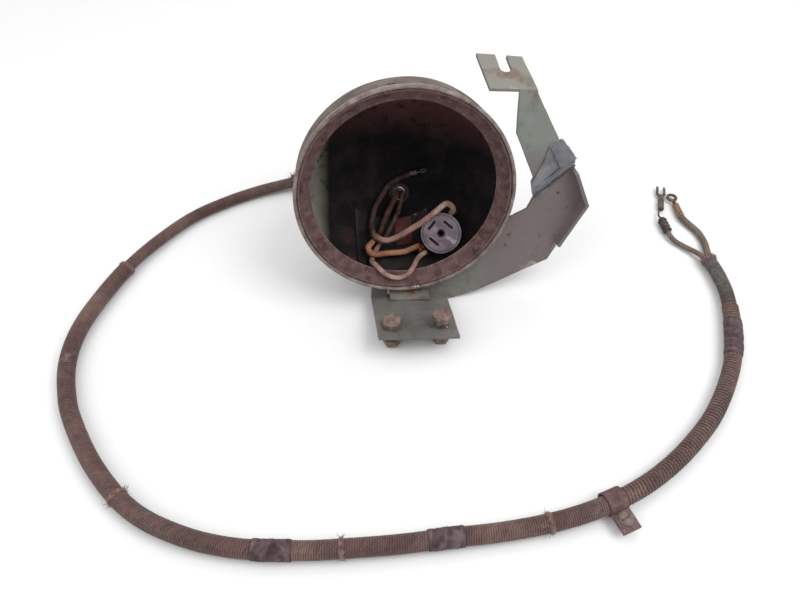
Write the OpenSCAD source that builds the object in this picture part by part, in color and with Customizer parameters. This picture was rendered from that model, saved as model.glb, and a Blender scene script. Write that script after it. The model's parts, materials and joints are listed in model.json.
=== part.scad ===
// Electric signal lamp housing on a bent sheet bracket, with its loom cable.
// The lamp group is drawn upright about the rim's centre (x right, y back along the drum, z up)
// and then leaned back onto the table by pose_lamp(). The cable lies on the table itself.

/* [Lamp housing] */
// Outside radius of the drum
drum_r = 79.5; // [70:0.5:90]
// Sheet thickness of the drum
drum_wall = 1.2; // [0.8:0.1:2]
// Length of the drum's straight front part
drum_straight = 22; // [16:1:26]
// Radius of the rolled bead round the rim
bead_r = 2.2; // [1.6:0.1:2.6]
// Radius of the opening in the lamp seat
seat_open_r = 68.5; // [60:0.5:70]
// Depth of the lamp seat's dish
seat_depth = 5.2; // [3:0.2:7]
// Radius of the cable hole in the drum's back
cable_hole_r = 7.4; // [6.5:0.1:9]
// Thickness of the backing plate on the drum's floor
saddle_t = 1.4; // [1:0.1:2]

/* [Bracket] */
// Sheet thickness of the bracket
sheet_t = 2.5; // [2:0.1:3]
// Width of the base plate
plate_w = 61; // [56:1:70]
// Length of the base plate
plate_l = 54.7; // [50:0.1:60]
// Depth of the base plate's top below the drum's centre
plate_drop = 90; // [89:0.5:94]
// Spacing of the two base plate holes
hole_pitch = 38.1; // [32:0.1:42]
// Radius of the base plate holes
hole_r = 5.2; // [4.8:0.1:6]
// Height of the stiffening flanges along the arm's outer edge
flange_h = 10; // [6:1:14]
// Rise of the fork tab
tab_rise = 21.5; // [15:0.5:28]
// Width of the fork slot
slot_w = 8.2; // [7:0.1:10]
// Width of the foot tongue
foot_w = 31.5; // [26:0.5:33]

/* [Bolts] */
// Radius of the bolt shanks
bolt_r = 3.97; // [3:0.01:4.2]
// Size of the bolt heads and nuts across their flats
hex_af = 12.7; // [11:0.1:14]
// Height of the bolt heads
head_h = 5.4; // [4:0.1:6]
// Height of the nuts
nut_h = 6.75; // [5:0.05:7.5]
// Length of the left bolt under its head
left_bolt_l = 22.2; // [20:0.1:22.6]
// Length of the right bolt under its head
right_bolt_l = 25.4; // [23:0.1:28]

/* [Plug and leads] */
// Radius of the lamp plug
plug_r = 16; // [14:0.5:17]
// Depth of the lamp plug
plug_l = 13; // [11:0.5:15]
// Radius of the two upper leads
lead_r = 2.4; // [2:0.1:2.5]
// Radius of the lower lead
lower_lead_r = 2.0; // [1.8:0.1:2.2]

/* [Cable] */
// Radius of the thin loom
small_r = 5; // [4.5:0.1:5.2]
// Radius of the thick loom
large_r = 6.5; // [6:0.1:6.5]
// Radius of the thread binding at the far end
binding_r = 5.5; // [5:0.1:5.5]
// Width of the pipe clip's band
clip_w = 13; // [10:0.5:16]

/* [Hidden] */
$fn = 72;
fit = 0.05;
gap = 0.3;

// Pose of the lamp group on the table.
lean = -16.5;
roll = 6;
yaw = 6;
lamp_at = [-27.85, -6.85, 96];

function turn_x(p, a) = [p.x, p.y*cos(a) - p.z*sin(a), p.y*sin(a) + p.z*cos(a)];
function turn_y(p, a) = [p.x*cos(a) + p.z*sin(a), p.y, p.z*cos(a) - p.x*sin(a)];
function turn_z(p, a) = [p.x*cos(a) - p.y*sin(a), p.x*sin(a) + p.y*cos(a), p.z];
function posed(p) = turn_z(turn_y(turn_x(p, lean), roll), yaw) + lamp_at;
function unit(v) = v/norm(v);

// Drum outline: straight, a cone, then an elliptic dome.
cone_end = [46, 70.5 + drum_r - 79.5];
dome_y = 36;
dome_a = 54;
dome_b = cone_end.y/sqrt(1 - pow((cone_end.x - dome_y)/dome_a, 2));
drum_back = dome_y + dome_a;
drum_front = bead_r + fit;
dome_steps = 14;
floor_steps = 5;
dome_from = asin((cone_end.x - dome_y)/dome_a);

// Points of the drum's outline, moved inwards by d square to the dome.
function dome_point(t, d) = [(dome_b - d)*cos(t), dome_y + (dome_a - d)*sin(t)];
function outline(d) = concat(
    [[drum_r - d, drum_front], [drum_r - d, drum_straight], [cone_end.y - d, cone_end.x]],
    [for (i = [1:dome_steps - 1]) dome_point(dome_from + i*(90 - dome_from)/dome_steps, d)]);
// Points along the drum's floor from the front edge at y_from to dome angle t_to, moved inwards by d.
function floor_line(y_from, t_to, d) = concat(
    y_from < drum_straight ? [[drum_r - d, y_from], [drum_r - d, drum_straight]] : [],
    [[cone_end.y - d, cone_end.x]],
    [for (i = [1:floor_steps]) dome_point(dome_from + i*(t_to - dome_from)/floor_steps, d)]);
function reversed(list) = [for (i = [len(list) - 1:-1:0]) list[i]];

// Cable hole: its place on the dome and its direction.
exit_t = 58;
exit_turn = 12;
exit_ring = dome_point(exit_t, 0);
exit_at = [exit_ring.x*sin(exit_turn), exit_ring.y, -exit_ring.x*cos(exit_turn)];
exit_slope = unit([cos(exit_t)/dome_b, sin(exit_t)/dome_a]);
exit_dir = [exit_slope.x*sin(exit_turn), exit_slope.y, -exit_slope.x*cos(exit_turn)];

// Rim and seat.
rim_r = drum_r - drum_wall/2;
sleeve_l = 4;
sleeve_t = 1.1;
seat_lip = 1.6;
seat_t = 1.2;
notch_w = 5;

// Backing plate, foot and rivets.
saddle_from = 11;
saddle_to = 39;
saddle_in = drum_wall + 0.3;
saddle_half = 30;
red_to = 37.6;
red_t = 0.6;
red_x = 3.5;
red_w = 13.5;
foot_x = -6.5;
foot_t = 2;
foot_back = 21;
rivet_y = 15;
rivet_turns = [0, 13.4];
rivet_r = 1.6;
rivet_head_r = 3.2;
rivet_head_h = 1.4;

// Bracket.
plate_x = -20.5;
plate_mid = plate_x + plate_w/2;
arm_y = 5;
plate_z = -plate_drop;
saddle_cut_r = drum_r + 0.5;
corner_low = [122.8, -40.5];
corner_out = [138.6, -5];
corner_up = [122.2, 26];
flange_stop = 5;
tab_z = 78.3;
tab_left = 52;
tab_right = 86;
slot_end = [67, 27];
window_gap = 1.5;
tape_gap = 0.3;
tape_t = 1;
hole_y = -35.5;
left_hole = [plate_mid - hole_pitch/2, hole_y, plate_z];
right_hole = [plate_mid + hole_pitch/2, hole_y, plate_z];
left_axis = posed(left_hole);
right_axis = posed(right_hole);
// Height of the left head's seat: the plate is tilted, so one side of it is the higher.
plate_up = posed([0, 0, 1]) - lamp_at;
plate_tilt = acos(plate_up.z);
left_seat = left_axis.z + hex_af/sqrt(3)*tan(plate_tilt) + fit;
left_nut_z = left_seat - left_bolt_l + 0.6;
right_nut_z = 0.6;
nut_bore_r = bolt_r + fit;

// Plug.
plug_at = [34.8, 25, -44.4];
plug_lean = 61.5;
plug_swing = -103.5;
plug_turn = -33;
slot_l = 9;
blade_gap = 2;
pair_half = 8.7;
third_off = 9.7;
eyelet_r = 3.4;
eyelet_bore = 2.2;
pocket_depth = 8;

// Inner leads, about the rim's centre.
upper_route = [[5.1, 77.6, -35.2], [4.8, 74.2, -33.8], [3, 69, -35.5], [-1, 64.8, -42],
    [-5.6, 60.5, -50.5], [-11.5, 51.2, -60.2], [-18.6, 39.5, -61.8], [-22, 31.5, -61.2],
    [-19.4, 26.3, -63.6], [-13, 27.6, -65], [-6.6, 30.1, -65.6], [6.9, 32, -65.5],
    [14.5, 33.4, -63.2], [20.2, 32.2, -59.5]];
lower_route = [[9.7, 77.6, -35.2], [9.5, 74.2, -33.8], [8.4, 69, -36], [6.2, 65, -43.5],
    [2, 60.8, -52.5], [-4.5, 52, -60.5], [-11.8, 42, -65], [-17, 33, -68.2], [-19, 26, -68.8],
    [-20, 18, -66.3], [-18.3, 10.5, -63.8], [-14.8, 4.8, -65], [-9.3, 2.7, -69], [-1.9, 2.2, -71.3],
    [5.3, 2.9, -69.7], [11, 6.5, -65.2], [15, 13.6, -62.2], [19, 20.5, -62.3], [24.3, 26.2, -62.4]];
ground_route = [[44, 38.2, -33.8], [44.8, 36.5, -28], [38.4, 34, -22.8], [29.6, 30.4, -28.3],
    [20.7, 30, -36.2], [11.8, 32, -44.4], [2, 35, -53], [-6.5, 37, -57.6], [-13.7, 40.4, -56.8],
    [-16.9, 47.5, -55.8], [-17.4, 56.5, -52.6], [-14, 67, -45.2], [-9.2, 74.2, -38.8],
    [-1.6, 79.4, -29], [8.6, 81.8, -22.8], [15.6, 81.4, -19.3]];
ground_tip = [30.5, 77.4, -13];

// Cable on the table.
cable_route = [[-33, 57.9, 39.2], [-33.6, 66.8, 31.2], [-34.5, 75.7, 23], [-36.5, 88, 13],
    [-41, 100, 7.5], [-49, 111, 5.2], [-61, 119.5, 5], [-76, 123, 5.5], [-93, 121.5, 6.6],
    [-113, 115, 7], [-135, 106, 7], [-160, 98, 5.5], [-186, 85, 5.2], [-214, 65, 5.5],
    [-238, 36, 6.5], [-258, 3, 7.3], [-272, -31, 7.3], [-280, -61, 7.3], [-280.5, -89, 7.3],
    [-274, -115, 7.3], [-262.5, -140, 7.3], [-237, -176, 7.3], [-206, -205, 7.3],
    [-171, -221.5, 7.3], [-135, -229.5, 7.3], [-94, -231, 7.3], [-63, -229.5, 7.3],
    [-32, -227, 7.3], [-0.5, -223, 7.3], [31, -219.5, 7.3], [64, -213.5, 7.5], [92, -205.5, 8.1],
    [120, -193.5, 8.1], [146, -177, 7.3], [170, -156.5, 7.3], [192, -132, 7.3],
    [212.5, -98, 7.3], [224, -66, 7.3], [230, -30, 7.3], [229.5, -6, 7], [225.5, 14, 7]];
large_from = 15;
binding_from = 37.5;
cable_to = len(cable_route) - 1;
thin_route = [[222.9, 13.8, 6.6], [222.3, 16.8, 6], [218.8, 23, 4.2], [211.5, 30.5, 3], [205, 37, 3.2],
    [202, 42, 4.2], [201.4, 46.5, 4.2]];
thick_route = [[228.1, 14.8, 6.6], [227.6, 17.8, 6.2], [228.8, 24, 4.6], [230.2, 35, 3], [228, 47, 3],
    [222.5, 57, 3], [218.2, 65, 3.2],
    [217.7, 69.5, 3.2]];
wire_route = [[199.2, 62.6, 4.2], [198.2, 67, 3.6], [199.4, 72, 3], [202.4, 76, 2.7]];
thin_r = 2.2;
thick_r = 2.8;
wire_r = 1;

// Places its children, drawn about the rim's centre, in the leaned pose.
module pose_lamp() translate(lamp_at) rotate([lean, roll, yaw]) children();

// Turns an outline of [radius, y] points about the drum's axis.
module lathe(points) rotate([-90, 0, 0]) rotate_extrude($fn = 144) polygon(points);

// Points its children's z axis along a direction.
module along(at, dir)
    translate(at) rotate([0, acos(dir.z/norm(dir)), atan2(dir.y, dir.x)]) children();

// Turns its children about the drum's axis, from the lowest point towards +x.
module round_drum(turn) rotate([0, -turn, 0]) children();

module hexagon(af, h) cylinder(r = af/sqrt(3), h = h, $fn = 6);

// Tangent of a route at point i.
function heading(route, i) =
    unit(route[min(i + 1, len(route) - 1)] - route[max(i - 1, 0)]);
function side_of(t) = abs(t.z) > 0.95 ? unit(cross(t, [0, 1, 0])) : unit(cross(t, [0, 0, 1]));
// Ring of n points round route point i.
function ring(route, i, r, n) =
    let (t = heading(route, i), s = side_of(t), u = cross(s, t))
    [for (k = [0:n - 1]) route[i] + r*(cos(k*360/n)*s + sin(k*360/n)*u)];
// The same ring at any place between two route points, so that sleeves lie true on the tube.
function ring_at(route, s, r, n) =
    let (i = min(floor(s), len(route) - 2), f = s - i, a = ring(route, i, r, n),
         b = ring(route, i + 1, r, n))
    [for (k = [0:n - 1]) a[k]*(1 - f) + b[k]*f];
function stations(from, to) =
    concat([from], [for (i = [floor(from) + 1:ceil(to) - 1]) i], [to]);

// A closed tube swept along part of a route.
module tube(route, from, to, r, n) {
    at = stations(from, to);
    count = len(at);
    points = [for (s = at) each ring_at(route, s, r, n)];
    faces = concat(
        [[for (k = [0:n - 1]) k]],
        [for (i = [0:count - 2]) for (k = [0:n - 1])
            [i*n + k, (i + 1)*n + k, (i + 1)*n + (k + 1)%n, i*n + (k + 1)%n]],
        [[for (k = [n - 1:-1:0]) (count - 1)*n + k]]);
    polyhedron(points, faces, convexity = 6);
}

// A hollow sleeve swept along part of a route.
module sleeve(route, from, to, r_in, r_out, n) {
    at = stations(from, to);
    count = len(at);
    points = concat([for (s = at) each ring_at(route, s, r_out, n)],
        [for (s = at) each ring_at(route, s, r_in, n)]);
    inner = count*n;
    faces = concat(
        [for (i = [0:count - 2]) for (k = [0:n - 1])
            [i*n + k, (i + 1)*n + k, (i + 1)*n + (k + 1)%n, i*n + (k + 1)%n]],
        [for (i = [0:count - 2]) for (k = [0:n - 1])
            [inner + i*n + (k + 1)%n, inner + (i + 1)*n + (k + 1)%n, inner + (i + 1)*n + k,
             inner + i*n + k]],
        [for (k = [0:n - 1]) [k, (k + 1)%n, inner + (k + 1)%n, inner + k]],
        [for (k = [0:n - 1]) let (o = (count - 1)*n)
            [o + (k + 1)%n, o + k, inner + o + k, inner + o + (k + 1)%n]]);
    polyhedron(points, faces, convexity = 6);
}

// Drum of one sheet, with its cable hole and rivet holes.
module housing_shell() color("dimgray") pose_lamp() difference() {
    lathe(concat(outline(0), [[0, drum_back], [0, drum_back - drum_wall]], reversed(outline(drum_wall))));
    along(exit_at, exit_dir) cylinder(r = cable_hole_r, h = 12, center = true);
    rivet_holes();
}

module rivet_holes() for (turn = rivet_turns)
    round_drum(turn) translate([0, rivet_y, -drum_r]) cylinder(r = rivet_r + fit, h = 12, center = true);

// Rolled bead with a short sleeve over the drum's front edge.
module front_rim() color("rosybrown") pose_lamp() {
    rotate([-90, 0, 0]) rotate_extrude($fn = 144) translate([rim_r, 0]) circle(r = bead_r, $fn = 24);
    lathe([[drum_r + fit, 0], [drum_r + fit + sleeve_t, 0], [drum_r + fit + sleeve_t, sleeve_l],
        [drum_r + fit, sleeve_l]]);
}

// Dished ring that the lamp sits on, notched at its left.
module lamp_seat_ring() color("rosybrown") pose_lamp() difference() {
    seat_out = drum_r - drum_wall - fit;
    seat_y = bead_r + fit;
    lathe([[seat_out, seat_y], [seat_out - seat_lip, seat_y], [seat_open_r, seat_y + seat_depth],
        [seat_open_r, seat_y + seat_depth + seat_t], [seat_out - seat_lip, seat_y + seat_t],
        [seat_out, seat_y + seat_t]]);
    rotate([0, 4, 0]) translate([-seat_open_r - 1.5, seat_y, -notch_w/2]) cube([6, 14, notch_w]);
}

// Backing plate that follows the drum's floor.
module saddle_plate() color("slategray") pose_lamp() difference() {
    intersection() {
        lathe(concat(floor_line(saddle_from, saddle_to, saddle_in),
            reversed(floor_line(saddle_from, saddle_to, saddle_in + saddle_t))));
        translate([-saddle_half, 0, -drum_r]) cube([2*saddle_half, drum_back, drum_r]);
    }
    rivet_holes();
}

// Tongue under the drum: riveted strap, web, and a slope down to the base plate.
module housing_foot() color("slategray") pose_lamp() {
    difference() {
        translate([foot_x, arm_y + sheet_t + 0.8, -drum_r - foot_t - fit])
            cube([foot_w, foot_back - arm_y - sheet_t - 0.8, 12]);
        rotate([-90, 0, 0]) cylinder(r = drum_r + fit, h = drum_back);
        for (turn = rivet_turns) round_drum(turn) translate([0, rivet_y, -drum_r])
            cylinder(r = rivet_r + fit, h = 24, center = true);
    }
    translate([foot_x, 0, 0]) rotate([90, 0, 90]) linear_extrude(foot_w)
        polygon([[11, -drum_r - 0.6], [8.3, -drum_r - 0.6], [6, -drum_r - 3], [-3.3, plate_z + 2],
            [-3.3, plate_z], [-0.8, plate_z], [8.3, -drum_r - 4.6], [11, -drum_r - 4.6]]);
}

// Rivets through foot, drum and backing plate, with a dome head inside.
module foot_rivets() color("gray") pose_lamp() for (turn = rivet_turns) round_drum(turn) {
    head_z = -drum_r + saddle_in + saddle_t + 3*fit;
    tail_z = -drum_r - (turn == 0 ? foot_t + fit : foot_t + 2);
    translate([0, rivet_y, tail_z]) cylinder(r = rivet_r, h = head_z - tail_z + fit, $fn = 32);
    translate([0, rivet_y, head_z]) cylinder(r1 = rivet_head_r, r2 = rivet_head_r*0.6, h = rivet_head_h, $fn = 32);
}

// Base plate, saddle-cut arm with forward flanges, and fork tab, all one sheet.
module mounting_bracket() color("darkslategray") pose_lamp() {
    difference() {
        translate([plate_x, arm_y - plate_l, plate_z - sheet_t]) cube([plate_w, plate_l + sheet_t, sheet_t]);
        for (p = [left_hole, right_hole]) translate(p) cylinder(r = hole_r, h = 4*sheet_t, center = true);
    }
    arm_sheet();
    arm_flange(corner_low, corner_out);
    arm_flange(corner_out, corner_up + flange_stop*unit(corner_out - corner_up));
    fork_tab();
}

module arm_sheet() translate([0, arm_y + sheet_t, 0]) rotate([90, 0, 0]) linear_extrude(sheet_t) difference() {
    polygon([[plate_x, plate_z - sheet_t], [44, plate_z - sheet_t], [63.7, -86.7], [118.8, -56.9],
        [123.7, -45.1], corner_low, corner_out, corner_up, [110.2, 40.4], [86.9, 75.4],
        [tab_right, tab_z], [73, tab_z], [76.4, 46.2], [95.9, 10.6], [97.7, -2.2], [94.2, -12.5],
        [80.6, -20.4], [0, 0], [plate_x, -60]]);
    circle(r = saddle_cut_r, $fn = 144);
    translate([foot_x - window_gap, plate_z + 0.1]) square([foot_w + 2*window_gap, plate_drop]);
}

// Flange along one outer edge of the arm, standing forward.
module arm_flange(a, b) {
    dir = unit(b - a);
    inward = [-dir.y, dir.x]*sheet_t;
    translate([0, arm_y + sheet_t, 0]) rotate([90, 0, 0]) linear_extrude(flange_h + sheet_t)
        polygon([a, b, b + inward, a + inward]);
}

// Tab with an open slot, rising backwards from the arm's top.
module fork_tab() translate([0, arm_y, tab_z]) rotate([tab_rise, 0, 0]) translate([0, 0, -sheet_t])
    linear_extrude(sheet_t) difference() {
        polygon([[tab_left, 0], [tab_right, 0], [81.5, 35.3], [48.3, 37.4]]);
        translate(slot_end - [0, arm_y]) {
            circle(d = slot_w, $fn = 48);
            rotate(4) translate([-slot_w/2, 0]) square([slot_w, 24]);
        }
    }

// Cloth tape round the arm, open where the sheet passes through.
module arm_tape() color("gainsboro") pose_lamp() difference() {
    translate([0, arm_y + sheet_t + tape_gap + tape_t, 0]) rotate([90, 0, 0])
        linear_extrude(sheet_t + 2*(tape_gap + tape_t))
        polygon([[94, 9], [99.9, 26.7], [101.6, 38.5], [112, 42.6], [123.4, 29], [123.6, 25.5],
            [119.5, 19.8], [104.3, 0.3], [96.8, -1]]);
    translate([0, arm_y + sheet_t + tape_gap, 0]) rotate([90, 0, 0])
        linear_extrude(sheet_t + 2*tape_gap)
        polygon([[104, -6], [126, 14], [123, 26.3], [110.4, 41.2], [102, 54], [88, 54],
            [70, 50], [95.4, 10.2], [97.2, -2.2]]);
}

// Hexagon bolt standing upright, its head's seat at height seat.
module bolt(axis, seat, shank_l) translate([axis.x, axis.y, seat]) {
    hexagon(hex_af, head_h);
    translate([0, 0, -shank_l]) cylinder(r = bolt_r, h = shank_l + 1, $fn = 48);
}
module nut(axis, z) translate([axis.x, axis.y, z]) difference() {
    hexagon(hex_af, nut_h);
    cylinder(r = nut_bore_r, h = 4*nut_h, center = true, $fn = 48);
}
module left_bolt() color("sienna") bolt(left_axis, left_seat, left_bolt_l);
module left_nut() color("sienna") nut(left_axis, left_nut_z);
module right_bolt() color("sienna") bolt(right_axis, right_bolt_l, right_bolt_l);
module right_nut() color("sienna") nut(right_axis, right_nut_z);

// Grooved bush in the cable hole.
module cable_grommet() color("black") pose_lamp() along(exit_at, exit_dir) rotate_extrude() {
    bore = small_r + gap;
    polygon([[bore, -drum_wall - 2.2], [cable_hole_r + 1.2, -drum_wall - 2.2],
        [cable_hole_r + 1.2, -drum_wall - 0.8], [cable_hole_r - fit, -drum_wall - 0.8],
        [cable_hole_r - fit, 0.1], [cable_hole_r + 2, 0.1], [cable_hole_r + 1.4, 3.2], [bore, 3.2]]);
}

module pose_plug() pose_lamp() translate(plug_at) rotate([0, plug_lean, plug_swing])
    rotate([0, 0, plug_turn]) children();

// Draws its children at the three blade slots.
module at_slots() {
    for (s = [-1, 1]) translate([s*pair_half, 0, 0]) rotate([0, 0, 90]) children();
    translate([0, -third_off, 0]) children();
}

module plug_body() color("thistle") pose_plug() difference() {
    union() {
        translate([0, 0, -plug_l]) cylinder(r = plug_r - 1.2, h = plug_l);
        translate([0, 0, -6]) cylinder(r = plug_r, h = 6);
    }
    at_slots() translate([-slot_l/2, -blade_gap/2, -pocket_depth]) cube([slot_l, blade_gap, 2*pocket_depth]);
    cylinder(r = eyelet_r, h = 4*plug_l, center = true);
}

// Folded strips seen at the bottom of the blade slots.
module plug_contacts() color("darkgoldenrod") pose_plug() at_slots()
    translate([-slot_l/2 + 0.4, -blade_gap/2 + fit, -pocket_depth]) cube([slot_l - 0.8, 0.5, pocket_depth - 2]);

module plug_eyelet() color("black") pose_plug() difference() {
    translate([0, 0, -plug_l]) cylinder(r = eyelet_r - fit, h = plug_l + 0.4);
    cylinder(r = eyelet_bore, h = 4*plug_l, center = true);
}

module lead(route, r) pose_lamp() tube(route, 0, len(route) - 1, r, 8);
module ground_lead() color("tan") lead(ground_route, lead_r);
module upper_lead() color("peru") lead(upper_route, lead_r);
module lower_lead() color("tan") lead(lower_route, lower_lead_r);

// Crimped ring terminal on the ground lead's free end.
module ground_terminal() color("silver") pose_lamp() {
    from = ground_route[len(ground_route) - 1];
    dir = unit(ground_tip - from);
    along(from + dir*0.5, dir) {
        cylinder(r = 2, h = 6, $fn = 24);
        translate([-0.5, -1.5, 5]) cube([1, 3, 4]);
        translate([0, 0, 11.5]) rotate([0, 90, 0]) difference() {
            cylinder(r = 3.6, h = 1, center = true, $fn = 32);
            cylinder(r = 2, h = 4, center = true, $fn = 32);
        }
    }
}

// Strip of tape stuck to the backing plate.
module red_tape() color("firebrick") pose_lamp() intersection() {
    lathe(concat(floor_line(cone_end.x, red_to, saddle_in + saddle_t + 0.1),
        reversed(floor_line(cone_end.x, red_to, saddle_in + saddle_t + 0.1 + red_t))));
    translate([red_x, 0, -drum_r]) cube([red_w, drum_back, drum_r]);
}

module loom_small() color("saddlebrown") tube(cable_route, 0, large_from, small_r, 12);
module loom_large() color("saddlebrown") tube(cable_route, large_from, binding_from, large_r, 12);
module end_binding() color("slategray") tube(cable_route, binding_from, cable_to, binding_r, 12);
module loom_collar() color("sienna")
    sleeve(cable_route, 9.55, 9.95, small_r + 0.15, small_r + 1.8, 12);
// Ragged cut ends where lengths of loom meet.
module loom_joints() color("sienna") for (s = [21.6, 25.75, 29.9])
    sleeve(cable_route, s, s + 0.12, large_r + 0.1, large_r + 0.7, 12);
module tape_bands() color("dimgray") for (span = [[24.25, 24.85], [27.55, 28.28], [36.4, 37.35]])
    sleeve(cable_route, span.x, span.y, large_r + 0.1, large_r + 0.6, 12);
module end_collar() color("sienna")
    sleeve(cable_route, cable_to - 0.25, cable_to - 0.03, binding_r + 0.1, binding_r + 1.4, 12);

// Pipe clip: a band round the loom and two foot leaves with a screw through them.
clip_from = 31;
clip_at = (cable_route[clip_from] + cable_route[clip_from + 1])/2;
clip_dir = cable_route[clip_from + 1] - cable_route[clip_from];
clip_turn = atan2(clip_dir.y, clip_dir.x);
clip_r = large_r + gap;
clip_t = 1.2;
leaf_l = 21.5;
screw_out = 13.6;
screw_r = 2.4;
screw_l = 9.6;
module pose_clip() translate(clip_at) rotate([0, 0, clip_turn]) children();
module pipe_clip() color("rosybrown") pose_clip() difference() {
    union() {
        rotate([0, 90, 0]) cylinder(r = clip_r + clip_t, h = clip_w, center = true);
        translate([-clip_w/2, -leaf_l, -clip_t]) cube([clip_w, leaf_l, 2*clip_t]);
    }
    rotate([0, 90, 0]) cylinder(r = clip_r, h = 2*clip_w, center = true);
    translate([0, -screw_out, 0]) cylinder(r = screw_r + 0.2, h = 20, center = true);
}
module clip_screw() color("sienna") pose_clip() translate([0, -screw_out, clip_t]) difference() {
    union() {
        translate([0, 0, fit]) intersection() {
            cylinder(r = 4.4, h = 2.6, $fn = 32);
            translate([0, 0, -3]) sphere(r = 5.6, $fn = 48);
        }
        translate([0, 0, 2*fit + 0.4 - screw_l]) cylinder(r = screw_r, h = screw_l, $fn = 32);
    }
    translate([-5, -0.6, 1.6]) cube([10, 1.2, 3]);
}
module clip_nut() color("sienna") pose_clip() translate([0, -screw_out, -clip_t - fit - 3.4]) difference() {
    hexagon(9.5, 3.4);
    cylinder(r = screw_r + fit, h = 20, center = true, $fn = 32);
}

module thin_lead() color("tan") tube(thin_route, 0, len(thin_route) - 1, thin_r, 8);
module thick_lead() color("peru") tube(thick_route, 0, len(thick_route) - 1, thick_r, 8);
module bare_wire() color("darkorange") tube(wire_route, 0, len(wire_route) - 1, wire_r, 8);

// Ribbed boot on the thin lead.
boot_from = thin_route[len(thin_route) - 1];
boot_dir = unit(wire_route[0] - boot_from);
boot_l = norm(wire_route[0] - boot_from);
module terminal_boot() color("black") along(boot_from, boot_dir) {
    translate([0, 0, 0.3]) cylinder(r = 3.2, h = boot_l - 0.6);
    for (i = [0:3]) translate([0, 0, 1.2 + i*4.2]) cylinder(r = 4.1, h = 2);
}

// Barrel, neck and a flat tongue; forked or ringed by its children.
module crimp(at, dir, r, l) along(at, dir) {
    translate([0, 0, 0.4]) cylinder(r = r, h = l, $fn = 32);
    translate([-0.6, -1.6, l - 1]) cube([1.2, 3.2, 6]);
    translate([0, 0, l + 4]) rotate([0, 90, 0]) translate([0, 0, -0.6]) linear_extrude(1.2) children();
}
module spade_terminal() color("silver")
    crimp(wire_route[3], [0.22, 0.97, 0], 2.6, 12) difference() {
        polygon([[0, -2], [-4, -4.4], [-14, -4], [-14, 4], [-4, 4.4], [0, 2]]);
        translate([-16, -2]) square([10, 4]);
        translate([-6, 0]) circle(r = 2, $fn = 32);
    }
module ring_terminal() color("chocolate")
    crimp(thick_route[len(thick_route) - 1], [-0.1, 1, 0], 3, 11) difference() {
        union() {
            translate([-6.5, 0]) circle(r = 5, $fn = 48);
            translate([-4, -1.6]) square([6, 3.2]);
        }
        translate([-6.5, 0]) circle(r = 2.4, $fn = 32);
    }

housing_shell();
front_rim();
lamp_seat_ring();
saddle_plate();
housing_foot();
foot_rivets();
mounting_bracket();
arm_tape();
left_bolt();
left_nut();
right_bolt();
right_nut();
cable_grommet();
plug_body();
plug_contacts();
plug_eyelet();
ground_lead();
ground_terminal();
upper_lead();
lower_lead();
red_tape();
loom_small();
loom_large();
loom_collar();
loom_joints();
tape_bands();
pipe_clip();
clip_screw();
clip_nut();
end_binding();
end_collar();
thin_lead();
thick_lead();
terminal_boot();
bare_wire();
spade_terminal();
ring_terminal();
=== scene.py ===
"""Electric signal lamp housing on a bent bracket, with its woven loom, plug and pipe clip."""
import json
import math
import random

import bmesh
import bpy
from mathutils import Matrix, Vector, noise

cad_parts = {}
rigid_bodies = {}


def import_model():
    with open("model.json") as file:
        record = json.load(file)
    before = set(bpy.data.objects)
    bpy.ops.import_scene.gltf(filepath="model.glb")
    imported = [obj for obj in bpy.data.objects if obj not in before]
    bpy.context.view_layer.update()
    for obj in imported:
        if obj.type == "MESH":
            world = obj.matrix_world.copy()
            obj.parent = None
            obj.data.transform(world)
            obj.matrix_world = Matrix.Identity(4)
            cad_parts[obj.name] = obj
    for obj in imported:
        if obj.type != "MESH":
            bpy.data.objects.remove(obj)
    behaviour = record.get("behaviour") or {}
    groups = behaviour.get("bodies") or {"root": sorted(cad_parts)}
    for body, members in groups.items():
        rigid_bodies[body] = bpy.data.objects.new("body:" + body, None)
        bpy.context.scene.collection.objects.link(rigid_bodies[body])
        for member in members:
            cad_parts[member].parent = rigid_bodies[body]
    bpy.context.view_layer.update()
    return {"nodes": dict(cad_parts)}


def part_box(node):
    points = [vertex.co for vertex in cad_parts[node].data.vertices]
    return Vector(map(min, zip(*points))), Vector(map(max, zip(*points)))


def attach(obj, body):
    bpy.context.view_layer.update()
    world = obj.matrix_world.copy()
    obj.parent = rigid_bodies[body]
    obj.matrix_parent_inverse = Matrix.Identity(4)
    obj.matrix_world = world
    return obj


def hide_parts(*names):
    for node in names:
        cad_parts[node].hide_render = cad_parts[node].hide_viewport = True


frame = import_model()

MM = 0.001
NODES = frame["nodes"]
scene = bpy.context.scene

# ---------------------------------------------------------------- camera
camera = bpy.data.objects.new("camera", bpy.data.cameras.new("camera"))
scene.collection.objects.link(camera)
camera.location = (-0.03235, -0.38065, 0.4442)
camera.rotation_euler = (math.radians(38.6), 0, 0)
camera.data.lens = 31.5
camera.data.sensor_width = 36
camera.data.clip_start = 0.01
scene.camera = camera

# Pose of the lamp group, as in the part: drawn about the rim's centre, then leaned onto the table.
POSE = (
    Matrix.Translation(Vector((-27.85, -6.85, 96)) * MM)
    @ Matrix.Rotation(math.radians(6), 4, "Z")
    @ Matrix.Rotation(math.radians(6), 4, "Y")
    @ Matrix.Rotation(math.radians(-16.5), 4, "X")
)
ROW = Matrix.Identity(4)


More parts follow.
